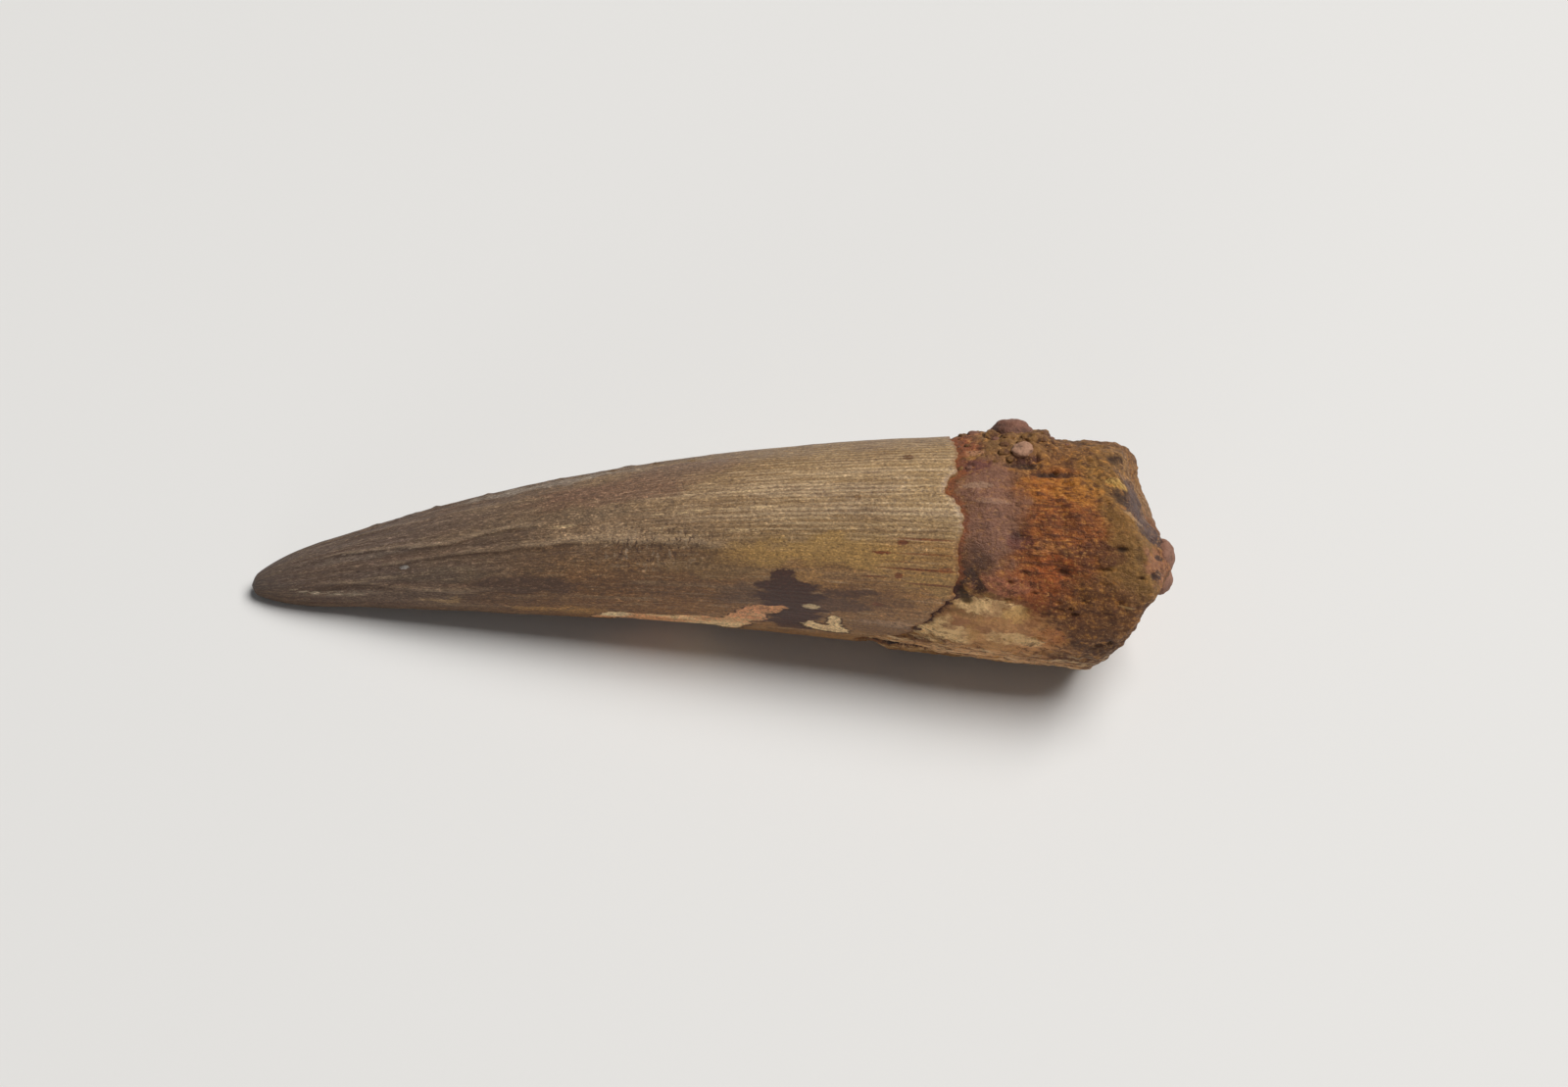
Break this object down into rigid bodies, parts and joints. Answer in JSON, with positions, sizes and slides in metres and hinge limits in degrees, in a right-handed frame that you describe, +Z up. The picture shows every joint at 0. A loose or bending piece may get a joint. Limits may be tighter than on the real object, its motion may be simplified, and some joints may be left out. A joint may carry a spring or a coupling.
{
  "type": "fossil dinosaur tooth",
  "caption": "Fossil theropod tooth lying on its side: a long, slightly curved, finely ridged conical crown on a broken stub of root with cemented matrix.",
  "frame": {"origin": "middle of the underside of the tooth's bounding box, on the surface that it lies on", "axes": "+X from the tip to the broken root, +Z up from the surface, +Y towards the convex back edge"},
  "size_m": [0.0804, 0.0208, 0.0185],
  "materials": {
    "enamel": "satin",
    "root": "matte",
    "matrix": "matte"
  },
  "bodies": {
    "root": {"tooth": "enamel"}
  },
  "joints": []
}
